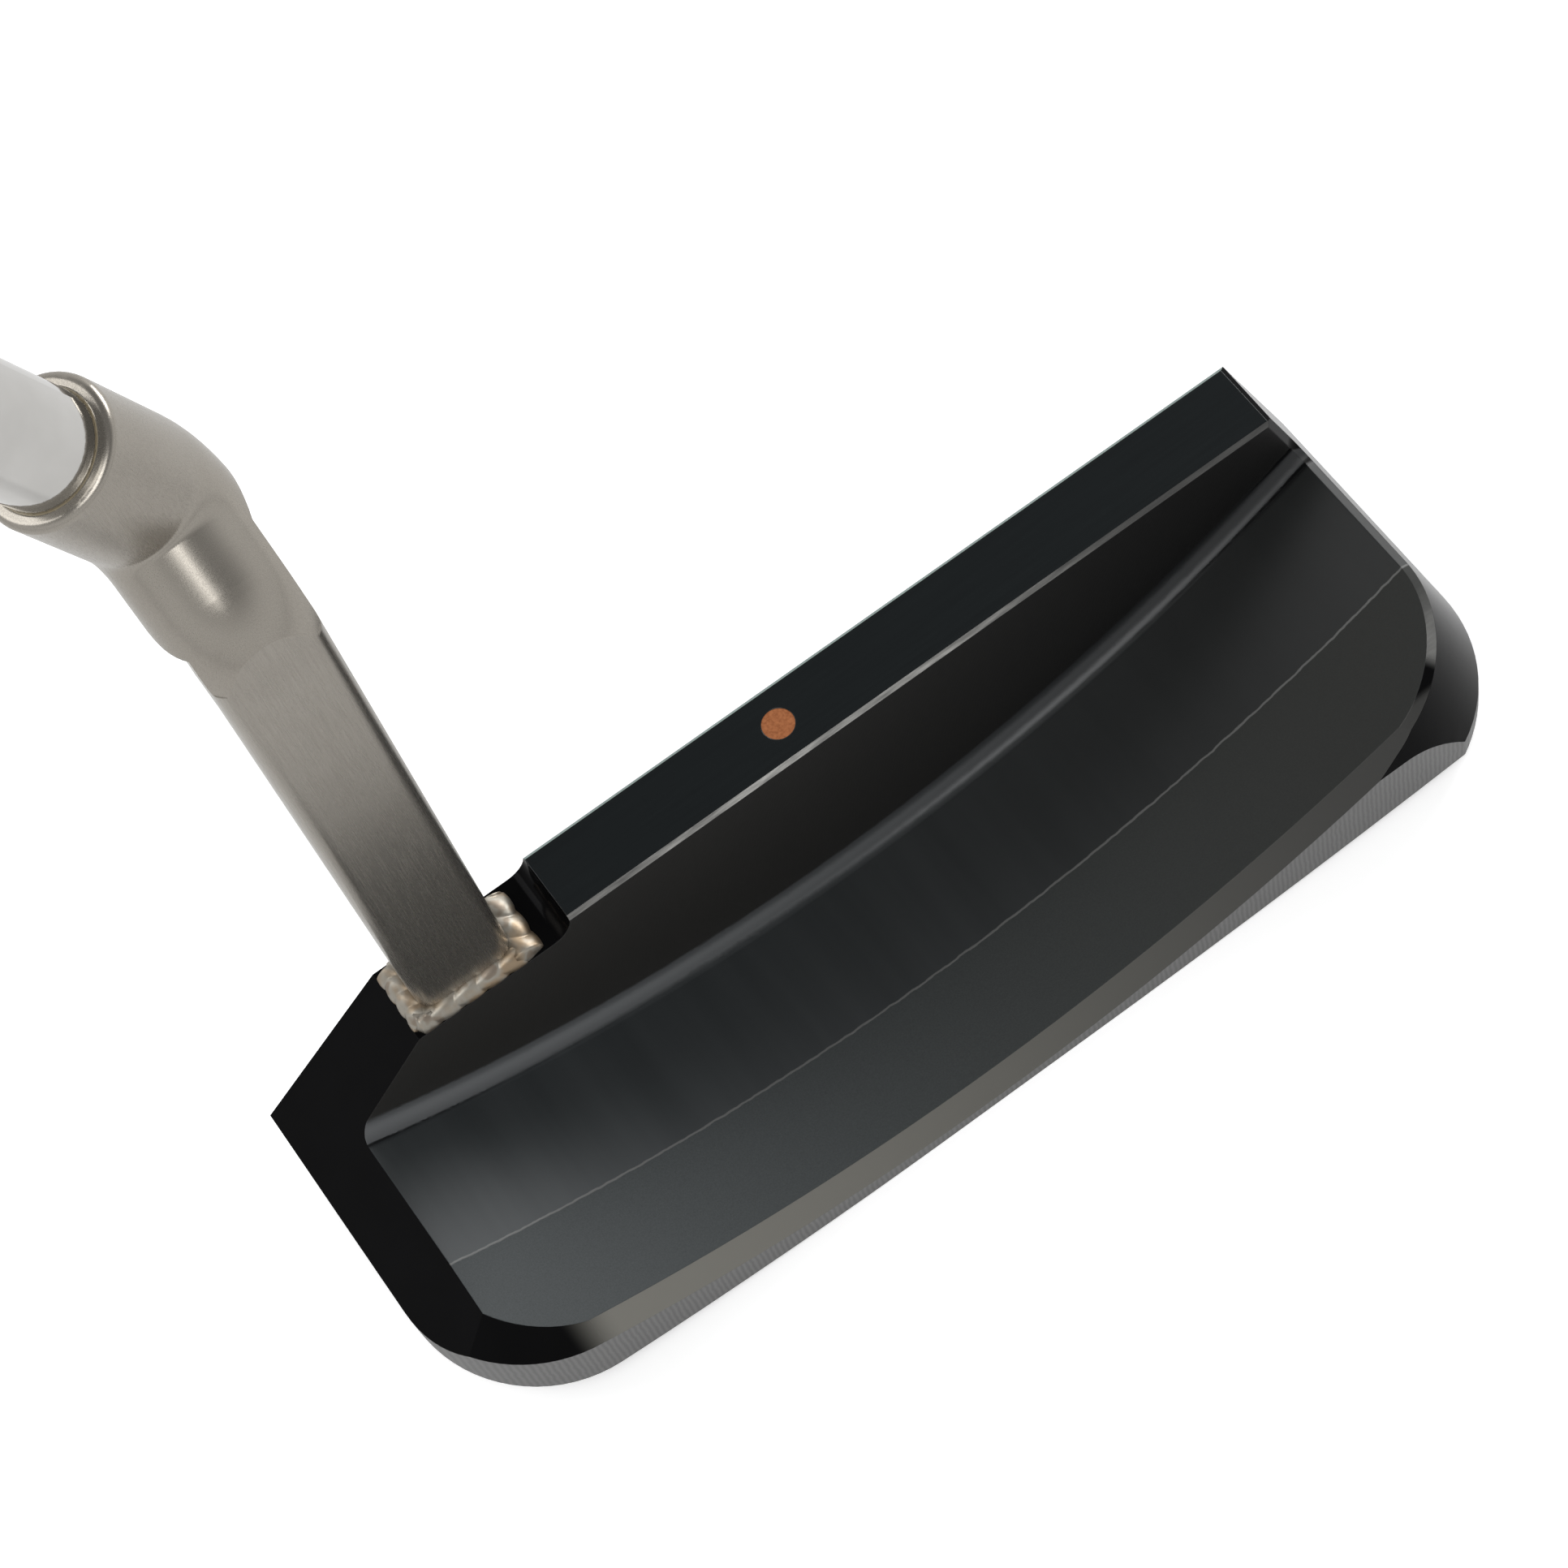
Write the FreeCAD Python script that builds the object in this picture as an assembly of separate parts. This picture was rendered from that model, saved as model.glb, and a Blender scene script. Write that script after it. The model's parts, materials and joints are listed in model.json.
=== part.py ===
"""A right-handed blade putter, built as separate solids, one STEP file for each.

Frame, in millimetres: the origin is on the ground under the sight dot, +Z is up, +Y points out of the
face towards the hole, and +X points at the toe. The shaft leans to -X by the lie angle.
Heights on the head are given as drops below the topline, because that is how a head is machined.
"""
import FreeCAD, Part
import math
import os

from FreeCAD import Matrix, Placement, Rotation, Vector

# ---- head: the topline wall ----
FACE_HEIGHT = 26.0          # sole to topline
TOPLINE_DEPTH = 8.1         # front edge to back edge
TOPLINE_HEEL_X = -26.9      # where the cove starts
TOPLINE_TOE_X = 55.7        # top of the toe end
FACE_LOFT = 3.0             # degrees, the face leans back
WALL_DRAFT = 3.0            # degrees, the back wall leans the other way
TOP_EDGE_BREAK = 0.4        # chamfer along the topline's front, back and toe edges

# ---- head: the pad that carries the neck, and the heel facet ----
COVE_RADIUS = 2.4           # also how far the pad lies below the topline
PAD_HEEL_X = -44.7
HEEL_X = -60.5
HEEL_FACET_DROP = 13.5      # fall of the facet from the pad to the heel rim

# ---- head: the flange ----
REAR_Y = -34.2
SCOOP_RADIUS = 125.0
SCOOP_CENTRE_X = -1.5
SCOOP_DROP = 22.4           # lowest line of the flange below the topline
SCOOP_FILLET = 2.0          # where the flange meets the back wall
CREASE_Y = -21.0            # the flange's rear strip starts here
REAR_STRIP_FALL = 0.25      # how far that strip falls towards the rear
REAR_CHAMFER = 1.9
HEEL_CORNER = Vector(-46.5, -20.2, 0)
HEEL_CORNER_RADIUS = 14.0
HEEL_CORNER_DROP = 16.1     # rim below the topline, where the corner meets the rear chamfer
HEEL_CORNER_RISE = 0.22     # how fast that rim climbs towards the heel
TOE_CORNER = Vector(47.5, -20.6, 0)
TOE_DRAFT = 0.34            # outward lean of the toe wall, per mm of drop
TOE_RIM_X = 62.8            # the toe wall ends in an upright rim here
TOE_EDGE_BREAK = 0.7        # bright bevel between the flange and the toe wall

# ---- head: the sole ----
SOLE_FLAT = 16.0            # level land under the sight dot
SOLE_HEEL_RADIUS = 250.0
SOLE_TOE_RADIUS = 480.0
SOLE_RUN = 70.0             # length of each arc, past the end of the head

# ---- sight dot ----
DOT_RADIUS = 1.65
DOT_RECESS = 0.9
DOT_FILL = 0.86

# ---- neck: an upright post, a forward jog and a round hosel ----
POST_X = (-42.85, -32.45)
POST_Y = (-2.9, 2.9)
POST_CORNER_RADIUS = 1.7
HOSEL_RADIUS = 6.35
JOG_START = Vector(-37.65, 1.4, FACE_HEIGHT + 65.0)
JOG_BEND_RADIUS = 7.0
JOG_LIFT = 7.2              # rise from the first bend to the second
HOSEL_TOP_Z = FACE_HEIGHT + 85.9
HOSEL_LIP_RADIUS = 0.7
SHOULDER_Z = FACE_HEIGHT + 70.0     # the post's flats end here, square to the shaft line
BAR_FOOT_Z = FACE_HEIGHT + 58.0     # below this the bar is milled down to the post
SOCKET_DEPTH = 18.0

# ---- shaft line ----
LIE_LEAN = 20.0             # degrees from upright, so a lie angle of 70
SHAFT_LINE_POINT = Vector(-38.32, 11.65, FACE_HEIGHT + 73.44)
CLUB_LENGTH = 863.6         # 34 inches along the shaft line, ground to grip cap

# ---- shaft ----
TIP_RADIUS = 4.95
SHAFT_WALL = 0.45
TIP_LENGTH = 350.0          # parallel length above the hosel
STEP_COUNT = 14
STEP_LENGTH = 19.0
STEP_GROWTH = 0.2           # added radius at each step
EPOXY_THICKNESS = 0.12

# ---- grip ----
GRIP_LENGTH = 266.0
GRIP_CAP = 3.0              # rubber beyond the shaft's butt
GRIP_VENT_RADIUS = 1.25
TAPE_THICKNESS = 0.3
FLAT_TRIM = 4.0             # how far the grip's round outline is cut back to make its flat
# distance up the grip, flat front, half width, round back, all from the shaft line
GRIP_SECTIONS = (
    (0.0, 8.2, 9.6, 9.6),
    (30.0, 8.8, 10.6, 10.8),
    (130.0, 9.8, 12.2, 12.6),
    (205.0, 10.6, 12.9, 15.0),
    (245.0, 11.2, 13.4, 19.5),
    (266.0, 11.2, 13.4, 20.0),
)

# ---- weld round the foot of the post ----
WELD_REACH = {"heel": 1.8, "toe": 2.3, "back": 1.25, "front": 1.25}
WELD_HEIGHT = 1.5
WELD_LIP = 0.15             # thickness of the weld metal at its top edge

PAD_Z = FACE_HEIGHT - COVE_RADIUS
BIG = 400.0                 # larger than the head, for half-space cutters
OVERRUN = 5.0               # how far a cutter reaches past the metal it cuts
MILL_REACH = 20.0           # further than the round bar reaches from its own line
TOUCH = 0.01                # two heights closer than this count as the same


def slope(degrees):
    return math.tan(math.radians(degrees))


def shaft_direction():
    lean = math.radians(LIE_LEAN)
    return Vector(-math.sin(lean), 0, math.cos(lean))


def shaft_point(distance):
    """The point on the shaft line at this distance from the ground."""
    axis = shaft_direction()
    ground = SHAFT_LINE_POINT - axis * (SHAFT_LINE_POINT.z / axis.z)
    return ground + axis * distance


def shaft_distance(height):
    """The distance along the shaft line at which it reaches this height."""
    return height / shaft_direction().z


def on_shaft_line(shape):
    """Move a shape built up the Z axis on to the shaft line. Its +X becomes the grip's front."""
    moved = shape.copy()
    moved.Placement = Placement(shaft_point(0), Rotation(Vector(0, 1, 0), -LIE_LEAN))
    return moved


def prism_along_y(points, y_low, y_high):
    """A straight prism with the given (x, z) outline."""
    corners = [Vector(x, y_low, z) for x, z in points]
    outline = Part.makePolygon(corners + corners[:1])
    return Part.Face(outline).extrude(Vector(0, y_high - y_low, 0))


def prism_along_x(points, x_low, x_high):
    """A straight prism with the given (y, z) outline."""
    corners = [Vector(x_low, y, z) for y, z in points]
    outline = Part.makePolygon(corners + corners[:1])
    return Part.Face(outline).extrude(Vector(x_high - x_low, 0, 0))


def box(low, high):
    size = high - low
    return Part.makeBox(size.x, size.y, size.z, low)


# ---- the head ----

def head_plan():
    """The head seen from above, as a prism: square at the front, rounded at both rear corners."""
    front = TOPLINE_DEPTH / 2 + FACE_HEIGHT * slope(FACE_LOFT)
    toe_radius = TOE_RIM_X - TOE_CORNER.x
    toe_reach = TOE_CORNER.y - REAR_Y
    toe_end_x = TOE_CORNER.x + math.sqrt(toe_radius ** 2 - toe_reach ** 2)
    half_turn = (math.asin(toe_reach / toe_radius)) / 2
    toe_mid = TOE_CORNER + Vector(math.cos(half_turn), -math.sin(half_turn), 0) * toe_radius
    diagonal = HEEL_CORNER_RADIUS / math.sqrt(2)
    heel_mid = HEEL_CORNER - Vector(diagonal, diagonal, 0)

    front_heel = Vector(HEEL_X, front, 0)
    front_toe = Vector(TOE_RIM_X, front, 0)
    toe_side_end = Vector(TOE_RIM_X, TOE_CORNER.y, 0)
    rear_toe = Vector(toe_end_x, REAR_Y, 0)
    rear_heel = Vector(HEEL_CORNER.x, REAR_Y, 0)
    heel_side_end = Vector(HEEL_X, HEEL_CORNER.y, 0)
    edges = [
        Part.makeLine(front_heel, front_toe),
        Part.makeLine(front_toe, toe_side_end),
        Part.Arc(toe_side_end, toe_mid, rear_toe).toShape(),
        Part.makeLine(rear_toe, rear_heel),
        Part.Arc(rear_heel, heel_mid, heel_side_end).toShape(),
        Part.makeLine(heel_side_end, front_heel),
    ]
    return Part.Face(Part.Wire(edges)).extrude(Vector(0, 0, FACE_HEIGHT))


def toe_draft_section(drop):
    """Everything on the heel side of the toe wall, at one drop below the topline."""
    z = FACE_HEIGHT - drop
    toe_x = TOPLINE_TOE_X + TOE_DRAFT * drop
    radius = toe_x - TOE_CORNER.x
    rear_y = TOE_CORNER.y - radius
    diagonal = radius / math.sqrt(2)
    corners = [
        Vector(-BIG, rear_y, z),
        Vector(-BIG, BIG, z),
        Vector(toe_x, BIG, z),
        Vector(toe_x, TOE_CORNER.y, z),
    ]
    arc_mid = Vector(TOE_CORNER.x + diagonal, TOE_CORNER.y - diagonal, z)
    arc_end = Vector(TOE_CORNER.x, rear_y, z)
    edges = [Part.makeLine(a, b) for a, b in zip(corners, corners[1:])]
    edges.append(Part.Arc(corners[-1], arc_mid, arc_end).toShape())
    edges.append(Part.makeLine(arc_end, corners[0]))
    return Part.Wire(edges)


def toe_draft_solid():
    sections = [toe_draft_section(-OVERRUN), toe_draft_section(FACE_HEIGHT + OVERRUN)]
    return Part.makeLoft(sections, True, True)


def face_cutter():
    """What lies in front of the lofted face."""
    top = TOPLINE_DEPTH / 2
    points = ((top, FACE_HEIGHT), (top + FACE_HEIGHT * slope(FACE_LOFT), 0), (BIG, 0), (BIG, FACE_HEIGHT))
    return prism_along_x(points, -BIG, BIG)


def scoop_disc(y, extra_drop=0.0):
    """The disc whose lower edge is the flange's curve, in the plane of this y."""
    centre = Vector(SCOOP_CENTRE_X, y, FACE_HEIGHT - SCOOP_DROP - extra_drop + SCOOP_RADIUS)
    circle = Part.makeCircle(SCOOP_RADIUS, centre, Vector(0, 1, 0))
    return Part.Face(Part.Wire(circle))


def scoop_cutter():
    """The long scoop behind the wall, with the fillet at the wall's foot."""
    wall_top = -TOPLINE_DEPTH / 2
    reach = REAR_Y - OVERRUN
    roll = scoop_disc(reach).extrude(Vector(0, wall_top - reach, 0))
    above = 3 * SCOOP_RADIUS
    drop = FACE_HEIGHT + OVERRUN
    points = (
        (wall_top - drop * slope(WALL_DRAFT), FACE_HEIGHT - drop),
        (wall_top, FACE_HEIGHT),
        (wall_top, above),
        (reach - 1, above),
        (reach - 1, FACE_HEIGHT - drop),
    )
    cutter = roll.common(prism_along_x(points, -BIG, BIG))
    foot = [edge for edge in cutter.Edges if is_scoop_foot(edge)]
    return cutter.makeFillet(SCOOP_FILLET, foot)


def is_scoop_foot(edge):
    """True for the edge where the flange's curve meets the drafted back wall."""
    span = edge.BoundBox
    wall_foot_y = -TOPLINE_DEPTH / 2 - SCOOP_DROP * slope(WALL_DRAFT)
    on_wall_side = span.YMax > wall_foot_y - 1 and span.ZMin < FACE_HEIGHT
    leans_with_wall = span.YLength > 0.2
    runs_along_flange = span.XLength > TOPLINE_TOE_X
    return on_wall_side and leans_with_wall and runs_along_flange


def rear_strip_cutter():
    """The rear strip of the flange falls away slightly behind the crease."""
    strip = CREASE_Y - REAR_Y
    length = strip + OVERRUN
    fall = REAR_STRIP_FALL * length / strip
    return scoop_disc(CREASE_Y).extrude(Vector(0, -length, -fall))


def rear_chamfer_cutter():
    """The 45 degree chamfer that follows the flange along the rear edge."""
    overrun = 2.0
    start_drop = REAR_CHAMFER + REAR_STRIP_FALL + overrun
    run = overrun + 2 * REAR_CHAMFER
    return scoop_disc(REAR_Y - overrun, start_drop).extrude(Vector(0, run, run))


def pad_and_facet_cutter():
    """Over the heel: the cove, the flat pad and the sloping heel facet."""
    above = FACE_HEIGHT + OVERRUN
    cove_top = Vector(TOPLINE_HEEL_X, -BIG, FACE_HEIGHT)
    cove_foot = Vector(TOPLINE_HEEL_X - COVE_RADIUS, -BIG, PAD_Z)
    diagonal = COVE_RADIUS / math.sqrt(2)
    cove_mid = Vector(cove_foot.x + diagonal, -BIG, FACE_HEIGHT - diagonal)
    facet_top = Vector(PAD_HEEL_X, -BIG, PAD_Z)
    facet_slope = HEEL_FACET_DROP / (PAD_HEEL_X - HEEL_X)
    past_heel = PAD_HEEL_X - HEEL_X + OVERRUN
    facet_end = facet_top - Vector(past_heel, 0, past_heel * facet_slope)
    corners = [
        cove_foot,
        facet_top,
        facet_end,
        Vector(facet_end.x, -BIG, above),
        Vector(TOPLINE_HEEL_X, -BIG, above),
        cove_top,
    ]
    edges = [Part.makeLine(a, b) for a, b in zip(corners, corners[1:])]
    edges.append(Part.Arc(cove_top, cove_mid, cove_foot).toShape())
    return Part.Face(Part.Wire(edges)).extrude(Vector(0, 2 * BIG, 0))


def heel_corner_cutter():
    """Around the rear heel corner: a leaning cone that joins the facet to the rear chamfer."""
    rim_z = FACE_HEIGHT - HEEL_CORNER_DROP
    reach = HEEL_CORNER_RADIUS / 2
    cone = Part.makeCone(
        HEEL_CORNER_RADIUS + reach, HEEL_CORNER_RADIUS - reach, 2 * reach,
        Vector(HEEL_CORNER.x, HEEL_CORNER.y, rim_z - reach),
    )
    quadrant = box(
        Vector(HEEL_X - OVERRUN, REAR_Y - OVERRUN, rim_z - reach),
        Vector(HEEL_CORNER.x, HEEL_CORNER.y, rim_z + reach),
    )
    lean = Matrix()
    lean.A31 = -HEEL_CORNER_RISE
    lean.A34 = HEEL_CORNER_RISE * HEEL_CORNER.x
    return quadrant.cut(cone).transformGeometry(lean)


def sole_solid():
    """Everything above the sole: a level land, then a long arc up to the heel and to the toe."""
    half = SOLE_FLAT / 2

    def up_arc(start, side, radius, run):
        rise = radius - math.sqrt(radius ** 2 - run ** 2)
        return start + Vector(side * run, 0, rise)

    heel_land = Vector(-half, -BIG, 0)
    toe_land = Vector(half, -BIG, 0)
    heel_end = up_arc(heel_land, -1, SOLE_HEEL_RADIUS, SOLE_RUN)
    heel_mid = up_arc(heel_land, -1, SOLE_HEEL_RADIUS, SOLE_RUN / 2)
    toe_end = up_arc(toe_land, 1, SOLE_TOE_RADIUS, SOLE_RUN)
    toe_mid = up_arc(toe_land, 1, SOLE_TOE_RADIUS, SOLE_RUN / 2)
    top = FACE_HEIGHT + OVERRUN
    edges = [
        Part.Arc(heel_end, heel_mid, heel_land).toShape(),
        Part.makeLine(heel_land, toe_land),
        Part.Arc(toe_land, toe_mid, toe_end).toShape(),
        Part.makeLine(toe_end, Vector(toe_end.x, -BIG, top)),
        Part.makeLine(Vector(toe_end.x, -BIG, top), Vector(heel_end.x, -BIG, top)),
        Part.makeLine(Vector(heel_end.x, -BIG, top), heel_end),
    ]
    return Part.Face(Part.Wire(edges)).extrude(Vector(0, 2 * BIG, 0))


def is_top_edge(edge):
    """True for the topline's front, back and toe edges."""
    span = edge.BoundBox
    on_top = span.ZMin > FACE_HEIGHT - TOUCH
    return on_top and span.XMax > TOPLINE_HEEL_X + 1


def is_flange_toe_edge(edge):
    """True for the edges where the flange runs out at the toe wall and its rear corner."""
    middle = edge.valueAt((edge.FirstParameter + edge.LastParameter) / 2)
    distance = edge.distToShape(scoop_disc(middle.y))[0]
    at_toe = middle.x > TOE_CORNER.x + 1 and middle.y < -TOPLINE_DEPTH / 2 - SCOOP_FILLET
    return at_toe and distance < REAR_STRIP_FALL + 0.1


def dot_recess():
    return Part.makeCylinder(DOT_RADIUS, DOT_RECESS, Vector(0, 0, FACE_HEIGHT - DOT_RECESS))


def head():
    body = head_plan().common(toe_draft_solid())
    body = body.common(sole_solid())
    body = body.cut(face_cutter())
    body = body.cut(scoop_cutter())
    body = body.cut(rear_strip_cutter())
    body = body.cut(rear_chamfer_cutter())
    body = body.cut(pad_and_facet_cutter())
    body = body.cut(heel_corner_cutter())
    body = body.removeSplitter()
    top_edges = [edge for edge in body.Edges if is_top_edge(edge)]
    body = body.makeChamfer(TOP_EDGE_BREAK, top_edges)
    toe_edges = [edge for edge in body.Edges if is_flange_toe_edge(edge)]
    body = body.makeChamfer(TOE_EDGE_BREAK, toe_edges)
    return body.cut(dot_recess())


def sight_dot():
    return Part.makeCylinder(DOT_RADIUS, DOT_FILL, Vector(0, 0, FACE_HEIGHT - DOT_RECESS))


# ---- the neck and its weld ----

def rounded(points, radius):
    """A path through the points, with each inner corner turned by a tangent arc."""
    edges = []
    start = points[0]
    for corner, following in zip(points[1:-1], points[2:]):
        back = (start - corner).normalize()
        ahead = (following - corner).normalize()
        half_angle = back.getAngle(ahead) / 2
        reach = radius / math.tan(half_angle)
        bisector = (back + ahead).normalize()
        centre = corner + bisector * (radius / math.sin(half_angle))
        arc_start = corner + back * reach
        arc_end = corner + ahead * reach
        edges.append(Part.makeLine(start, arc_start))
        edges.append(Part.Arc(arc_start, centre - bisector * radius, arc_end).toShape())
        start = arc_end
    edges.append(Part.makeLine(start, points[-1]))
    return Part.Wire(edges)


def hosel_bar():
    """The round bar: up out of the post, forward, and up again along the shaft line."""
    bend_two = shaft_point(shaft_distance(JOG_START.z + JOG_LIFT))
    foot = Vector(JOG_START.x, JOG_START.y, BAR_FOOT_Z)
    top = shaft_point(shaft_distance(HOSEL_TOP_Z))
    path = rounded([foot, JOG_START, bend_two, top], JOG_BEND_RADIUS)
    section = Part.Wire(Part.makeCircle(HOSEL_RADIUS, foot, Vector(0, 0, 1)))
    bar = path.makePipeShell([section], True, True)
    lip = max(bar.Edges, key=lambda edge: edge.CenterOfMass.z)
    return bar.makeFillet(HOSEL_LIP_RADIUS, [lip])


def post():
    """The upright post, milled flat on its four sides."""
    low = Vector(POST_X[0], POST_Y[0], PAD_Z)
    high = Vector(POST_X[1], POST_Y[1], JOG_START.z)
    block = box(low, high)
    uprights = [edge for edge in block.Edges if edge.BoundBox.ZLength > 1]
    return block.makeFillet(POST_CORNER_RADIUS, uprights)


def post_outline_kept():
    """The part of the bar that stays below the shoulder: the post's width, rounded at the back."""
    low = Vector(POST_X[0], POST_Y[0], BAR_FOOT_Z - OVERRUN)
    high = Vector(POST_X[1], MILL_REACH + OVERRUN, SHOULDER_Z + MILL_REACH)
    block = box(low, high)
    back_corners = [
        edge for edge in block.Edges
        if edge.BoundBox.ZLength > 1 and edge.BoundBox.YMax < 0
    ]
    return block.makeFillet(POST_CORNER_RADIUS, back_corners)


def below_shoulder():
    """The space under the shoulder, whose plane is square to the shaft line."""
    heel = POST_X[0] - MILL_REACH
    toe = POST_X[1] + MILL_REACH
    middle = sum(POST_X) / 2
    rise = slope(LIE_LEAN)
    points = (
        (heel, BAR_FOOT_Z - 1),
        (toe, BAR_FOOT_Z - 1),
        (toe, SHOULDER_Z + (toe - middle) * rise),
        (heel, SHOULDER_Z + (heel - middle) * rise),
    )
    return prism_along_y(points, -MILL_REACH, MILL_REACH)


def neck():
    """The bar, milled down to the post's flats below the shoulder."""
    milled_away = below_shoulder().cut(post_outline_kept())
    bar = hosel_bar().cut(milled_away)
    solid = bar.fuse(post()).removeSplitter()
    return solid.cut(socket())


def socket():
    """The blind bore that takes the shaft, opening at the hosel's top."""
    top = shaft_distance(HOSEL_TOP_Z)
    length = SOCKET_DEPTH + OVERRUN
    bore = Part.makeCylinder(TIP_RADIUS + EPOXY_THICKNESS, length, Vector(0, 0, top - SOCKET_DEPTH))
    return on_shaft_line(bore)


def weld_collar():
    """A sloping collar of weld metal round the foot of the post."""
    low = (POST_X[0] - WELD_REACH["heel"], POST_Y[0] - WELD_REACH["back"])
    high = (POST_X[1] + WELD_REACH["toe"], POST_Y[1] + WELD_REACH["front"])

    def outline(x_low, y_low, x_high, y_high, z):
        corners = [
            Vector(x_low, y_low, z),
            Vector(x_high, y_low, z),
            Vector(x_high, y_high, z),
            Vector(x_low, y_high, z),
        ]
        return Part.makePolygon(corners + corners[:1])

    foot = outline(low[0], low[1], high[0], high[1], PAD_Z)
    top_low = (POST_X[0] - WELD_LIP, POST_Y[0] - WELD_LIP)
    top_high = (POST_X[1] + WELD_LIP, POST_Y[1] + WELD_LIP)
    top = outline(top_low[0], top_low[1], top_high[0], top_high[1], PAD_Z + WELD_HEIGHT)
    return Part.makeLoft([foot, top], True, True).cut(post())


def weld_beads():
    """The collar's four sides, each a run of its own, split at the corners."""
    collar = weld_collar()
    centre = Vector(sum(POST_X) / 2, sum(POST_Y) / 2, PAD_Z - 1)
    far = MILL_REACH
    half_x = (POST_X[1] - POST_X[0]) / 2
    half_y = (POST_Y[1] - POST_Y[0]) / 2
    heel_back = centre + Vector(-half_x - far, -half_y - far, 0)
    toe_back = centre + Vector(half_x + far, -half_y - far, 0)
    toe_front = centre + Vector(half_x + far, half_y + far, 0)
    heel_front = centre + Vector(-half_x - far, half_y + far, 0)
    near_heel = centre - Vector(half_x - half_y, 0, 0)
    near_toe = centre + Vector(half_x - half_y, 0, 0)
    wedges = {
        "heel": [near_heel, heel_front, heel_back],
        "toe": [near_toe, toe_back, toe_front],
        "back": [near_heel, heel_back, toe_back, near_toe],
        "front": [near_toe, toe_front, heel_front, near_heel],
    }
    beads = {}
    for side, corners in wedges.items():
        floor_plan = Part.Face(Part.makePolygon(corners + corners[:1]))
        wedge = floor_plan.extrude(Vector(0, 0, WELD_HEIGHT + OVERRUN))
        beads["weld_bead_" + side] = collar.common(wedge)
    return beads


# ---- the shaft, its bond and the grip ----

def shaft_steps():
    """(start, end, outer radius) of each length of the shaft, from the tip to the butt."""
    tip = shaft_distance(HOSEL_TOP_Z) - SOCKET_DEPTH + EPOXY_THICKNESS
    start = shaft_distance(HOSEL_TOP_Z) + TIP_LENGTH
    steps = [(tip, start, TIP_RADIUS)]
    for number in range(1, STEP_COUNT):
        radius = TIP_RADIUS + number * STEP_GROWTH
        steps.append((start, start + STEP_LENGTH, radius))
        start += STEP_LENGTH
    steps.append((start, CLUB_LENGTH - GRIP_CAP, TIP_RADIUS + STEP_COUNT * STEP_GROWTH))
    return steps


def stepped_rod(grow, low, high):
    """A solid rod that follows the shaft's steps, this much larger in radius, between two distances."""
    rod = None
    for start, end, radius in shaft_steps():
        bottom = max(start, low)
        top = min(end, high)
        if top > bottom:
            length = Part.makeCylinder(radius + grow, top - bottom, Vector(0, 0, bottom))
            rod = length if rod is None else rod.fuse(length)
    return rod


def shaft():
    outside = stepped_rod(0, 0, CLUB_LENGTH)
    inside = stepped_rod(-SHAFT_WALL, 0, CLUB_LENGTH)
    return on_shaft_line(outside.cut(inside))


def epoxy_bond():
    """The thin cup of adhesive between the shaft's tip and the socket."""
    top = shaft_distance(HOSEL_TOP_Z)
    cup = Part.makeCylinder(TIP_RADIUS + EPOXY_THICKNESS, SOCKET_DEPTH, Vector(0, 0, top - SOCKET_DEPTH))
    hollow = Part.makeCylinder(
        TIP_RADIUS, SOCKET_DEPTH, Vector(0, 0, top - SOCKET_DEPTH + EPOXY_THICKNESS))
    return on_shaft_line(cup.cut(hollow))


def grip_section(distance, front, half_width, back):
    """A D-shaped outline: flat in front, elliptical behind."""
    half_depth = (front + FLAT_TRIM + back) / 2
    centre = Vector(front + FLAT_TRIM - half_depth, 0, distance)
    deep = centre + Vector(half_depth, 0, 0)
    wide = centre + Vector(0, half_width, 0)
    flat = math.acos((front - centre.x) / half_depth)
    if half_width > half_depth:
        ellipse = Part.Ellipse(wide, centre - Vector(half_depth, 0, 0), centre)
        arc = Part.ArcOfEllipse(ellipse, flat - math.pi / 2, 3 * math.pi / 2 - flat)
    else:
        ellipse = Part.Ellipse(deep, wide, centre)
        arc = Part.ArcOfEllipse(ellipse, flat, 2 * math.pi - flat)
    curve = arc.toShape()
    ends = [vertex.Point for vertex in curve.Vertexes]
    return Part.Wire([curve, Part.makeLine(ends[-1], ends[0])])


def grip():
    foot = CLUB_LENGTH - GRIP_LENGTH
    outlines = [grip_section(foot + up, front, half, back) for up, front, half, back in GRIP_SECTIONS]
    body = Part.makeLoft(outlines, True, False)
    body = body.cut(stepped_rod(TAPE_THICKNESS, foot - 1, CLUB_LENGTH - GRIP_CAP))
    vent = Part.makeCylinder(GRIP_VENT_RADIUS, GRIP_CAP + 2, Vector(0, 0, CLUB_LENGTH - GRIP_CAP - 1))
    return on_shaft_line(body.cut(vent))


def grip_tape():
    low = CLUB_LENGTH - GRIP_LENGTH + 2
    high = CLUB_LENGTH - GRIP_CAP
    sleeve = stepped_rod(TAPE_THICKNESS, low, high).cut(stepped_rod(0, low, high))
    return on_shaft_line(sleeve)


def build():
    pieces = {
        "head": head(),
        "sight_dot": sight_dot(),
        "neck": neck(),
        "shaft": shaft(),
        "epoxy_bond": epoxy_bond(),
        "grip_tape": grip_tape(),
        "grip": grip(),
    }
    pieces.update(weld_beads())
    os.makedirs("parts", exist_ok=True)
    for name, shape in pieces.items():
        solid = shape.Solids[0] if len(shape.Solids) == 1 else shape
        solid.exportStep("parts/" + name + ".step")
        volume = solid.Volume / 1000
        print(f"{name}: {len(shape.Solids)} solid, {volume:.2f} cm3, valid {solid.isValid()}")


build()
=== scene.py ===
import json
import math
import random

import bpy
from mathutils import Matrix, Vector

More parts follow.
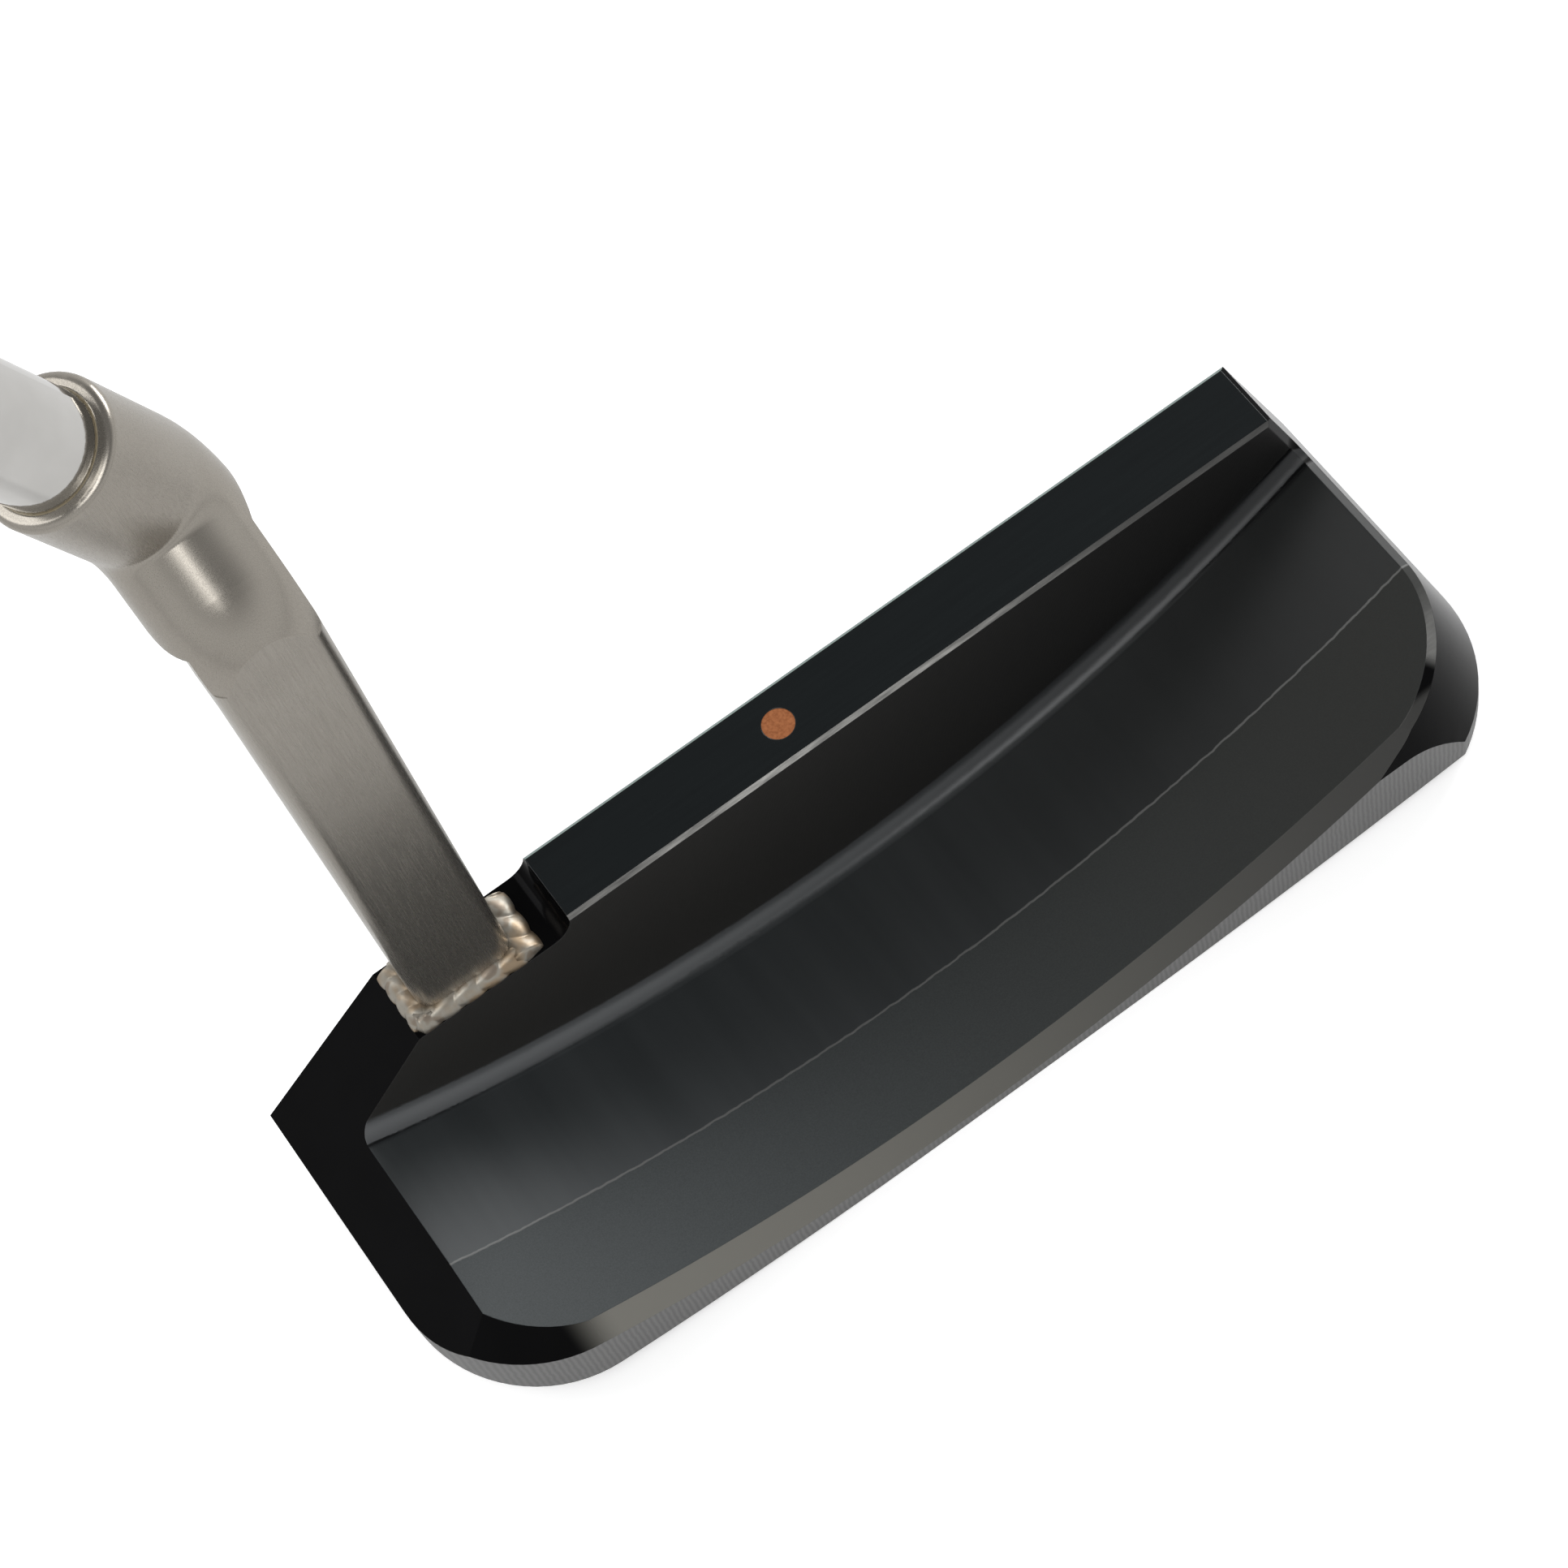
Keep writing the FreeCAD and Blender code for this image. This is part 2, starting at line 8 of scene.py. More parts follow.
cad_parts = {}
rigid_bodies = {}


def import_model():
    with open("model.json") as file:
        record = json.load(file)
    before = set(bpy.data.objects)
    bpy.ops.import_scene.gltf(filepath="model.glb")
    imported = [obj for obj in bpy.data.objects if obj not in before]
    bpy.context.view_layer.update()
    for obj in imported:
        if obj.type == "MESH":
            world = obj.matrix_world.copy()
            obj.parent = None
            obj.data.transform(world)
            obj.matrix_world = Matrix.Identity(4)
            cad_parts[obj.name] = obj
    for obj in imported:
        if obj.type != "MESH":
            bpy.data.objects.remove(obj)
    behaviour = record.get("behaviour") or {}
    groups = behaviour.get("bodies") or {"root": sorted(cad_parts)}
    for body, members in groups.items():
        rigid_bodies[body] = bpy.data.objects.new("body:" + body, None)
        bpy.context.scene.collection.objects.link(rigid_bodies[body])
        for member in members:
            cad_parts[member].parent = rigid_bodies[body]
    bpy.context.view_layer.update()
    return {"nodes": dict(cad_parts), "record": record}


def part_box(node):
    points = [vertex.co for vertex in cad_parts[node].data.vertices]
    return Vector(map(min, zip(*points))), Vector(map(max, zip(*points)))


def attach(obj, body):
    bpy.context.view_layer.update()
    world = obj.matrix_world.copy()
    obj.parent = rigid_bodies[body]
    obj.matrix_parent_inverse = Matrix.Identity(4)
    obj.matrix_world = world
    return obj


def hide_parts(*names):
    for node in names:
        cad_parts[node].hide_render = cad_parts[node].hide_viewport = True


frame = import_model()
NODES = frame["nodes"]
MM = 0.001
UP = Vector((0, 0, 1))

# ---- the camera: place, direction and lens, solved from the head's straight edges ----
CAMERA_PLACE = Vector((-0.04742, -0.16387, 0.35694))
CAMERA_AZIMUTH = 15.62
CAMERA_ELEVATION = 63.58
CAMERA_ROLL = 21.20
LENS_MM = 90.37
SENSOR_MM = 36.0

# ---- places on the head, in mm, that the finishes follow ----
FLANGE_START_Y = -6.4
CREASE_Y = -21.0
MILLING_RADIUS = 40.0
FLANGE_SOFT = 0.4           # half width of the blend from the fillet to the flange
WALL_TOP_EDGE_Z = 25.5      # the bevels round the topline lie above this
TOPLINE_SURFACE_Z = 25.7    # and the topline itself above this
LOW_SIDE_TOP_Z = 13.0       # the milled sides below the facets lie under this
CREASE_FADE_START = 0.05    # the crease line fades out between these distances from its middle
CREASE_FADE_END = 0.16
CREASE_WIGGLE = 0.35
CREASE_STRENGTH = 0.6
FEED_PITCH = 0.55           # cutter lines on the low sides
MILLING_PITCH = 0.42        # and on the back wall

# ---- settings shared by the materials ----
BARE_SHEEN = 0.03           # mirror strength of the black facets
MACHINED_SHEEN = 0.5        # and of the machined surfaces
BARE_ROUGHNESS = 0.12
NOISE_ROUGHNESS = 0.55
EDGE_SAMPLES = 8
MM_PER_METRE = 1000


def clean_start():
    for item in list(bpy.data.objects):
        if item.type in {"CAMERA", "LIGHT"}:
            bpy.data.objects.remove(item)


def new_mesh_object(name, points, faces):
    mesh = bpy.data.meshes.new(name)
    mesh.from_pydata([tuple(point) for point in points], [], faces)
    mesh.validate()
    mesh.update()
    for face in mesh.polygons:
        face.use_smooth = True
    piece = bpy.data.objects.new(name, mesh)
    bpy.context.scene.collection.objects.link(piece)
    return piece


def tube_faces(ring_count, ring_size):
    """Quads that join each ring of points to the next, and an end cap at both ends."""
    faces = []
    for ring in range(ring_count - 1):
        for place in range(ring_size):
            following = (place + 1) % ring_size
            a = ring * ring_size + place
            b = ring * ring_size + following
            faces.append((a, b, b + ring_size, a + ring_size))
    faces.append(tuple(reversed(range(ring_size))))
    last = (ring_count - 1) * ring_size
    faces.append(tuple(range(last, last + ring_size)))
    return faces


# ---- materials ----

class Look:
    """A node material under construction. Values are sockets or numbers."""

    def __init__(self, name):
        self.material = bpy.data.materials.new(name)
        self.material.use_nodes = True
        self.tree = self.material.node_tree
        self.shader = self.tree.nodes["Principled BSDF"]
        coordinates = self.add("ShaderNodeTexCoord")
        self.place = self.vector("MULTIPLY", coordinates.outputs["Object"], (MM_PER_METRE,) * 3)
        self.x, self.y, self.z = self.split(self.place)
        self.nx, self.ny, self.nz = self.split(coordinates.outputs["Normal"])

    def add(self, kind):
        return self.tree.nodes.new(kind)

    def feed(self, socket, value):
        if isinstance(value, bpy.types.NodeSocket):
            self.tree.links.new(value, socket)
        else:
            socket.default_value = value

    def split(self, vector):
        node = self.add("ShaderNodeSeparateXYZ")
        self.feed(node.inputs[0], vector)
        return node.outputs[0], node.outputs[1], node.outputs[2]

    def vector(self, operation, a, b):
        node = self.add("ShaderNodeVectorMath")
        node.operation = operation
        self.feed(node.inputs[0], a)
        self.feed(node.inputs[1], b)
        return node.outputs[0]

    def sum(self, a, b):
        return self.math("ADD", a, b)

    def math(self, operation, a, b=0.0):
        node = self.add("ShaderNodeMath")
        node.operation = operation
        self.feed(node.inputs[0], a)
        self.feed(node.inputs[1], b)
        return node.outputs[0]

    def remap(self, value, low, high, to_low=0.0, to_high=1.0):
        node = self.add("ShaderNodeMapRange")
        node.interpolation_type = "SMOOTHSTEP"
        for socket, number in zip(node.inputs, (value, low, high, to_low, to_high)):
            self.feed(socket, number)
        return node.outputs[0]

    def between(self, value, low, high, soft):
        """1 where the value is between low and high, with soft edges."""
        rise = self.remap(value, low - soft, low + soft)
        fall = self.remap(value, high - soft, high + soft, 1.0, 0.0)
        return self.math("MULTIPLY", rise, fall)

    def both(self, *masks):
        """All of the masks or amounts, multiplied together."""
        result = masks[0]
        for mask in masks[1:]:
            result = self.math("MULTIPLY", result, mask)
        return result

    def mix(self, factor, a, b):
        node = self.add("ShaderNodeMix")
        node.data_type = "RGBA"
        self.feed(node.inputs["Factor"], factor)
        self.feed(node.inputs[6], a if isinstance(a, bpy.types.NodeSocket) else (*a, 1.0))
        self.feed(node.inputs[7], b if isinstance(b, bpy.types.NodeSocket) else (*b, 1.0))
        return node.outputs[2]

    def blend(self, factor, a, b):
        node = self.add("ShaderNodeMix")
        node.data_type = "FLOAT"
        self.feed(node.inputs["Factor"], factor)
        self.feed(node.inputs[2], a)
        self.feed(node.inputs[3], b)
        return node.outputs[0]

    def noise(self, size, detail=3.0, stretch=(1, 1, 1)):
        """Noise from 0 to 1 whose blobs are about size mm across, longer along the stretched axes."""
        scaled = self.vector("DIVIDE", self.place, tuple(size * amount for amount in stretch))
        node = self.add("ShaderNodeTexNoise")
        self.feed(node.inputs["Vector"], scaled)
        node.inputs["Scale"].default_value = 1.0
        node.inputs["Detail"].default_value = detail
        node.inputs["Roughness"].default_value = NOISE_ROUGHNESS
        return node.outputs["Fac"]

    def lines(self, across, pitch, wobble=0.0):
        """Regular cutter lines, from 0 to 1, across a coordinate in mm."""
        phase = self.math("MULTIPLY", self.sum(across, wobble), 2 * math.pi / pitch)
        wave = self.math("SINE", phase)
        return self.sum(self.math("MULTIPLY", wave, 0.5), 0.5)

    def bump(self, height, depth_mm, edge_mm=0.0):
        node = self.add("ShaderNodeBump")
        node.inputs["Strength"].default_value = 1.0
        node.inputs["Distance"].default_value = depth_mm * MM
        self.feed(node.inputs["Height"], height)
        if edge_mm:
            edge = self.add("ShaderNodeBevel")
            edge.samples = EDGE_SAMPLES
            edge.inputs["Radius"].default_value = edge_mm * MM
            self.feed(node.inputs["Normal"], edge.outputs["Normal"])
        self.feed(self.shader.inputs["Normal"], node.outputs["Normal"])

    def finish(self, colour, roughness, metallic=1.0):
        self.feed(self.shader.inputs["Base Color"], colour)
        self.feed(self.shader.inputs["Roughness"], roughness)
        self.shader.inputs["Metallic"].default_value = metallic
        return self.material


def head_masks(look):
    """Masks, from 0 to 1, for each machined surface of the head, from its place and its normal."""
    x, y, z = look.x, look.y, look.z
    nx, ny, nz = look.nx, look.ny, look.nz
    behind_wall = look.remap(y, FLANGE_START_Y + FLANGE_SOFT, FLANGE_START_Y - FLANGE_SOFT)
    flange = look.both(look.remap(nz, 0.84, 0.88), behind_wall, look.remap(nx, -0.56, -0.52))
    on_bevels = look.remap(z, WALL_TOP_EDGE_Z - 0.05, WALL_TOP_EDGE_Z + 0.05)
    on_topline = look.remap(z, TOPLINE_SURFACE_Z - 0.1, TOPLINE_SURFACE_Z + 0.1)
    tilted = look.between(nz, 0.5, 0.9, 0.05)
    upright = look.remap(look.math("ABSOLUTE", nz), 0.2, 0.1)
    wall = look.both(look.remap(ny, -0.93, -0.98), look.remap(y, -9, -8.6))
    below_facets = look.remap(z, LOW_SIDE_TOP_Z + 0.5, LOW_SIDE_TOP_Z - 0.5)
    low_side = look.both(upright, below_facets, look.remap(y, 2.0, 0.0))
    return {
        "topline": look.both(look.remap(nz, 0.975, 0.995), on_topline),
        "back_bevel": look.both(on_bevels, tilted, look.remap(ny, -0.3, -0.4)),
        "front_bevel": look.both(on_bevels, tilted, look.remap(ny, 0.3, 0.4)),
        "wall": wall,
        "front_strip": look.both(flange, look.remap(y, CREASE_Y - 0.05, CREASE_Y + 0.05)),
        "rear_strip": look.both(flange, look.remap(y, CREASE_Y + 0.05, CREASE_Y - 0.05)),
        "fillet": look.both(look.between(nz, 0.2, 0.95, 0.06), look.between(y, -8.5, -4.6, 0.1),
                            look.remap(ny, -0.15, -0.25), look.remap(z, 24.5, 23.5)),
        "chamfer": look.both(look.between(nz, 0.5, 0.85, 0.05), look.remap(ny, -0.4, -0.5),
                             look.remap(y, -31.0, -31.8), look.remap(x, -49.5, -44.5)),
        "toe_bevel": look.both(look.between(nz, 0.55, 0.9, 0.04), look.remap(x, 47.8, 48.6),
                               look.remap(nx, 0.05, 0.12), look.remap(y, -5.0, -7.0)),
        "rim": look.both(low_side, look.math("SUBTRACT", 1.0, wall)),
    }


def milling_arcs(look):
    """The cutter marks on the back wall, as arcs one after another along the wall."""
    square = look.math("MULTIPLY", look.z, look.z)
    arc = look.math("SQRT", look.math("SUBTRACT", MILLING_RADIUS ** 2, square))
    return look.lines(look.sum(look.x, arc), MILLING_PITCH)


def steel_textures(look):
    """The patterns, from 0 to 1, that the head's colours and reliefs are mixed by."""
    wander = look.math("MULTIPLY", look.noise(1.2, detail=2.0), 0.4)
    return {
        "cloud": look.noise(9.0, detail=2.0),
        "grain": look.noise(0.16, detail=2.0),
        "streak": look.noise(0.3, detail=2.0, stretch=(30, 1, 1)),
        "bands": look.noise(3.6, detail=3.0, stretch=(1, 14, 14)),
        "wear_and_highlight": look.noise(0.5, detail=3.0, stretch=(8, 1, 1)),
        "feed": look.lines(look.x, FEED_PITCH, wander),
        "milling": milling_arcs(look),
    }


def steel_layers(look, texture):
    """(surface, colour, roughness) for each machined surface. Most are painted lighter at the heel and
    darker at the toe: painted light from the heel side, painted shade towards the toe.
    """
    # painted light: 0 at the toe, 1 at the heel, grading the surfaces' colours from painted shade to
    # painted light
    painted_heel_light = look.remap(look.x, 55.0, -50.0)
    bands, grain, streak, wear_and_highlight = (texture[name] for name in ("bands", "grain", "streak", "wear_and_highlight"))
    # painted highlight along the topline's back bevel: near white in its middle, fading to dim ends,
    # broken up by the wear noise
    middle = look.math("MULTIPLY", look.remap(look.math("ABSOLUTE", look.x), 42.0, 2.0), wear_and_highlight)
    bevel_end = look.mix(wear_and_highlight, (0.03, 0.03, 0.03), (0.09, 0.09, 0.085))
    bevel_highlight = look.mix(wear_and_highlight, (0.25, 0.25, 0.24), (0.85, 0.84, 0.80))
    # flange strip colours: painted light at the heel, painted shade at the toe, mottled by their own
    # bands and grain
    front_strip_heel_lit = look.mix(bands, (0.020, 0.024, 0.026), (0.044, 0.049, 0.052))
    front_strip_toe_shaded = look.mix(bands, (0.003, 0.004, 0.004), (0.007, 0.008, 0.008))
    rear_strip_heel_lit = look.mix(grain, (0.026, 0.031, 0.033), (0.054, 0.062, 0.064))
    rear_strip_toe_shaded = look.mix(grain, (0.005, 0.006, 0.005), (0.012, 0.013, 0.011))
    return (
        ("topline", look.mix(streak, (0.003, 0.005, 0.006), (0.007, 0.010, 0.011)), 0.24),
        # back wall: painted lighter towards the heel and darker towards the toe, as painted light and
        # shade
        ("wall", look.mix(painted_heel_light, (0.006, 0.006, 0.006), (0.024, 0.023, 0.021)), 0.42),
        ("front_strip", look.mix(painted_heel_light, front_strip_toe_shaded, front_strip_heel_lit), 0.44),
        ("rear_strip", look.mix(painted_heel_light, rear_strip_toe_shaded, rear_strip_heel_lit), 0.56),
        # fillet: a painted highlight band, bright at the heel and fading to painted shade at the toe
        ("fillet", look.mix(painted_heel_light, (0.010, 0.011, 0.012), (0.095, 0.100, 0.104)), 0.36),
        # rear chamfer: a painted reflection of the bright surroundings, strongest at the heel and fading
        # towards the toe
        ("chamfer", look.mix(painted_heel_light, (0.030, 0.030, 0.028), (0.175, 0.170, 0.150)), 0.40),
        ("toe_bevel", look.mix(wear_and_highlight, (0.10, 0.10, 0.098), (0.24, 0.24, 0.23)), 0.35),
        # back bevel: painted highlight in the middle over a dim mottled edge at the ends
        ("back_bevel", look.mix(middle, bevel_end, bevel_highlight), 0.30),
        # front bevel: a pale blue-green painted highlight along the topline's front edge, mottled by the
        # wear noise
        ("front_bevel", look.mix(wear_and_highlight, (0.09, 0.13, 0.12), (0.24, 0.32, 0.30)), 0.30),
        ("rim", look.mix(texture["feed"], (0.12, 0.12, 0.12), (0.17, 0.17, 0.168)), 0.44),
    )


def crease_line(look, mask):
    """The thin, slightly wandering line between the two strips of the flange."""
    wiggle = look.math("MULTIPLY", look.sum(look.noise(1.5, detail=3.0), -0.5), CREASE_WIGGLE)
    distance = look.math("ABSOLUTE", look.sum(look.sum(look.y, wiggle), -CREASE_Y))
    flange = look.sum(mask["front_strip"], mask["rear_strip"])
    line = look.both(look.remap(distance, CREASE_FADE_END, CREASE_FADE_START), flange)
    return look.math("MULTIPLY", line, CREASE_STRENGTH)


def steel_relief(look, mask, texture):
    """The height, from 0 to 1, of each surface's tool marks."""
    reliefs = (
        ("milling", "wall", 0.35),
        ("grain", "rear_strip", 0.9),
        ("feed", "rim", 0.8),
        ("streak", "topline", 0.25),
        ("wear_and_highlight", "back_bevel", 0.8),
    )
    height = look.math("MULTIPLY", texture["grain"], 0.03)
    for pattern, surface, amount in reliefs:
        height = look.sum(height, look.both(texture[pattern], mask[surface], amount))
    return height


def black_steel():
    """The head's finishes: polished wall top, milled back wall, matt flange, and black facets, with
    painted light in their colours: lighter towards the heel, and painted highlights and reflections on
    the bevels, fillet and chamfer.
    """
    look = Look("black_steel")
    mask = head_masks(look)
    texture = steel_textures(look)
    colour = look.mix(texture["cloud"], (0.0025, 0.0025, 0.0025), (0.005, 0.005, 0.0055))
    roughness = BARE_ROUGHNESS
    sheen = BARE_SHEEN
    for surface, layer_colour, layer_roughness in steel_layers(look, texture):
        colour = look.mix(mask[surface], colour, layer_colour)
        roughness = look.blend(mask[surface], roughness, layer_roughness)
        sheen = look.blend(mask[surface], sheen, MACHINED_SHEEN)
    colour = look.mix(crease_line(look, mask), colour, (0.16, 0.16, 0.155))
    look.bump(steel_relief(look, mask, texture), depth_mm=0.006, edge_mm=0.15)
    look.feed(look.shader.inputs["Specular IOR Level"], sheen)
    return look.finish(colour, roughness, metallic=0.25)


def copper_paint():
    look = Look("copper_paint")
    blotch = look.noise(0.28, detail=4.0)
    colour = look.mix(look.remap(blotch, 0.2, 0.8), (0.30, 0.095, 0.030), (0.40, 0.140, 0.046))
    look.bump(blotch, depth_mm=0.02)
    return look.finish(colour, look.remap(blotch, 0.3, 0.7, 0.38, 0.6), metallic=0.35)


def satin_steel():
    look = Look("satin_steel")
    brushing = look.noise(0.12, stretch=(1, 1, 40))
    cloud = look.noise(7.0, detail=2.0)
    pale = look.mix(cloud, (0.31, 0.285, 0.25), (0.37, 0.345, 0.305))
    colour = look.mix(look.remap(brushing, 0.3, 0.7, 0.0, 0.18), pale, (0.24, 0.22, 0.195))
    roughness = look.remap(brushing, 0.25, 0.75, 0.22, 0.30)
    look.bump(brushing, depth_mm=0.0012, edge_mm=0.2)
    return look.finish(colour, roughness, metallic=0.88)


def weld_steel():
    look = Look("weld_steel")
    tint = look.noise(2.6, detail=2.0)
    speck = look.noise(0.5)
    silver = look.mix(speck, (0.28, 0.26, 0.22), (0.38, 0.355, 0.31))
    straw = look.mix(look.remap(tint, 0.42, 0.62, 0.0, 0.8), silver, (0.30, 0.215, 0.13))
    colour = look.mix(look.remap(tint, 0.34, 0.42, 0.6, 0.0), straw, (0.18, 0.13, 0.09))
    look.bump(speck, depth_mm=0.006)
    return look.finish(colour, look.remap(speck, 0.3, 0.7, 0.38, 0.48), metallic=0.85)


def chrome_steel():
    look = Look("chrome_steel")
    film = look.noise(5.0)
    fine = look.noise(0.4, detail=2.0, stretch=(1, 1, 12))
    colour = look.mix(film, (0.50, 0.49, 0.47), (0.62, 0.61, 0.59))
    look.bump(fine, depth_mm=0.0008)
    return look.finish(colour, look.remap(film, 0.3, 0.7, 0.05, 0.10))


def cured_epoxy():
    look = Look("cured_epoxy")
    cloud = look.noise(0.8)
    colour = look.mix(cloud, (0.20, 0.16, 0.10), (0.32, 0.27, 0.18))
    look.bump(cloud, depth_mm=0.02)
    return look.finish(colour, 0.3, metallic=0.0)


def paper_tape():
    look = Look("paper_tape")
    crepe = look.noise(0.5, stretch=(1, 4, 1))
    colour = look.mix(crepe, (0.52, 0.44, 0.31), (0.68, 0.60, 0.45))
    look.bump(crepe, depth_mm=0.05)
    return look.finish(colour, 0.85, metallic=0.0)


def grip_rubber():
    look = Look("grip_rubber")
    cloud = look.noise(12.0)
    pore = look.noise(0.25)
    colour = look.mix(cloud, (0.014, 0.014, 0.015), (0.026, 0.026, 0.027))
    look.bump(pore, depth_mm=0.03)
    return look.finish(colour, look.remap(cloud, 0.3, 0.7, 0.62, 0.78), metallic=0.0)


# ---- the weld: one rippled bead along each side of the post's foot ----
WELD_REACH = {"heel": 1.8 * MM, "toe": 2.3 * MM, "back": 1.25 * MM, "front": 1.25 * MM}
WELD_ARC_POINTS = 15
WELD_STEP = 0.1 * MM
WELD_SINK = 0.25 * MM
WELD_FILL = 0.6 * MM        # how far the bead fills in behind the post's rounded corners
WELD_CURL = 0.30            # how far a ripple's middle runs ahead of its ends, in ripples
WELD_LOW = 0.92             # size between two ripples, as a share of the bead's full size
WELD_RIPPLE = 0.12          # and how much a ripple adds to it
WELD_ROUNDNESS = 0.7        # smaller is flatter-topped
WELD_JITTER = 0.01
WELD_END_SIZE = 0.25        # the bead starts and ends this small
WELD_END_GROWTH = 5.0
WELD_LAP = 0.8 * MM         # how far a bead runs past the post's corner


def weld_bead(name, start, end, outward, reach, height, ripples):
    """A stack-of-dimes bead from start to end, along the corner of post and pad."""
    along = end - start
    ring_count = int(along.length / WELD_STEP)
    wander = random.Random(name)
    points = []
    for ring in range(ring_count):
        progress = ring / (ring_count - 1)
        spine = start + along * progress
        end_taper = min(1.0, math.sin(math.pi * progress) * WELD_END_GROWTH + WELD_END_SIZE)
        for step in range(WELD_ARC_POINTS):
            turn = step / (WELD_ARC_POINTS - 1) * math.pi / 2
            crescent = WELD_CURL * math.sin(2 * turn)
            jitter = wander.uniform(-WELD_JITTER, WELD_JITTER)
            ripple = (progress * ripples + crescent + jitter) % 1.0
            lobe = math.sin(math.pi * ripple) ** WELD_ROUNDNESS
            swell = (WELD_LOW + WELD_RIPPLE * lobe) * end_taper
            reach_here = reach * math.cos(turn) * swell
            rise_here = height * math.sin(turn) * swell
            points.append(spine + outward * reach_here + UP * rise_here)
        points.append(spine - outward * WELD_FILL + UP * height * WELD_LOW * end_taper)
        points.append(spine - outward * WELD_FILL - UP * WELD_SINK)
    bead = new_mesh_object(name + "_rippled", points, tube_faces(ring_count, WELD_ARC_POINTS + 2))
    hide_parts(name)
    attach(bead, "root")
    return bead


def weld_beads(material):
    """Four beads on the lines where the post meets the pad."""
    post_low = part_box("neck")[0]
    back_low, back_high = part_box("weld_bead_back")
    heel_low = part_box("weld_bead_heel")[0]
    toe_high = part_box("weld_bead_toe")[1]
    front_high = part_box("weld_bead_front")[1]
    post_heel = heel_low.x + WELD_REACH["heel"]
    post_toe = toe_high.x - WELD_REACH["toe"]
    post_back = back_low.y + WELD_REACH["back"]
    post_front = front_high.y - WELD_REACH["front"]
    height = back_high.z - post_low.z

    def corner(x, y):
        return Vector((x, y, post_low.z))

    sides = (
        ("back", corner(post_heel - 2 * WELD_LAP, post_back), corner(post_toe + WELD_LAP, post_back),
         Vector((0, -1, 0)), 5),
        ("toe", corner(post_toe, post_back - 1.5 * WELD_LAP), corner(post_toe, post_front + WELD_LAP),
         Vector((1, 0, 0)), 3),
        ("front", corner(post_toe + WELD_LAP, post_front), corner(post_heel - WELD_LAP, post_front),
         Vector((0, 1, 0)), 6),
        ("heel", corner(post_heel, post_front + WELD_LAP), corner(post_heel, post_back - WELD_LAP),
         Vector((-1, 0, 0)), 4),
    )
    for side, start, end, outward, ripples in sides:
        reach = WELD_REACH[side]
        bead = weld_bead("weld_bead_" + side, start, end, outward, reach, height, ripples)
        bead.data.materials.append(material)


# ---- the grip: a flat-fronted pistol shape with a moulded diamond pattern ----
GRIP_BELOW_MOUNT = 137.4 * MM
GRIP_LENGTH = 266.0 * MM
GRIP_FLAT_TRIM = 4.0
GRIP_SIDES = 132
GRIP_RINGS = 400
DIAMOND_PITCH = 3.4 * MM
DIAMOND_DEPTH = 0.3 * MM
SMOOTH_FOOT = 14.0 * MM
SMOOTH_HEAD = 16.0 * MM
CAP_ROUNDING = 2.6 * MM
VENT_RADIUS = 1.25 * MM
GRIP_BORE = 6.75 * MM
GRIP_MEAN_RADIUS = 12.0 * MM
FLAT_EDGE_SOFTNESS = 0.8    # mm over which the flat front rounds into the sides
FLAT_EDGE_LIMIT = 30        # softnesses away from the flat at which it has no effect
GROOVE_NARROWNESS = 3.0
PATTERN_FADE = 3.0 * MM
FOOT_ROUNDING = 0.8 * MM
BORE_DEPTH = 2.0 * MM       # the grip is closed this far inside its foot
CAP_STEPS = 6
CAP_SHRINK = 0.16
DISH_DEPTH = 0.3 * MM
VENT_DEPTH = 2.4 * MM
# distance up the grip, flat front, half width, round back, in mm
GRIP_SECTIONS = (
    (0.0, 8.2, 9.6, 9.6),
    (30.0, 8.8, 10.6, 10.8),
    (130.0, 9.8, 12.2, 12.6),
    (205.0, 10.6, 12.9, 15.0),
    (245.0, 11.2, 13.4, 19.5),
    (266.0, 11.2, 13.4, 20.0),
)


def ease(amount):
    amount = max(0.0, min(1.0, amount))
    return amount * amount * (3 - 2 * amount)


def grip_sizes(up):
    """The front, half width and back of the grip at this distance, blended between the sections."""
    up_mm = up / MM
    for low, high in zip(GRIP_SECTIONS, GRIP_SECTIONS[1:]):
        if up_mm <= high[0]:
            share = ease((up_mm - low[0]) / (high[0] - low[0]))
            return [(a + (b - a) * share) for a, b in zip(low[1:], high[1:])]
    return list(GRIP_SECTIONS[-1][1:])


def grip_outline(up, turn):
    """A point of the D-shaped outline, as (towards the front, across), in metres."""
    front, half_width, back = grip_sizes(up)
    half_depth = (front + GRIP_FLAT_TRIM + back) / 2
    centre = front + GRIP_FLAT_TRIM - half_depth
    reach = centre + half_depth * math.cos(turn)
    gap = (front - reach) / FLAT_EDGE_SOFTNESS
    if gap < FLAT_EDGE_LIMIT:
        reach = front - FLAT_EDGE_SOFTNESS * math.log1p(math.exp(gap))
    return Vector((reach * MM, half_width * math.sin(turn) * MM))


def diamond_groove(up, turn):
    """1 along the moulded pattern's crossing grooves, falling to 0 beside them."""
    run = turn * GRIP_MEAN_RADIUS
    rising = math.sin(math.pi * (up + run) / DIAMOND_PITCH)
    falling = math.sin(math.pi * (up - run) / DIAMOND_PITCH)
    return max(0.0, 1.0 - abs(rising * falling) * GROOVE_NARROWNESS)


def moulded_outline(up, turn, scale, pattern):
    """A point of the outline with the diamond pattern pressed into it."""
    outline = grip_outline(up, turn)
    sunk = outline.length - pattern * DIAMOND_DEPTH * diamond_groove(up, turn)
    return outline.normalized() * sunk * scale


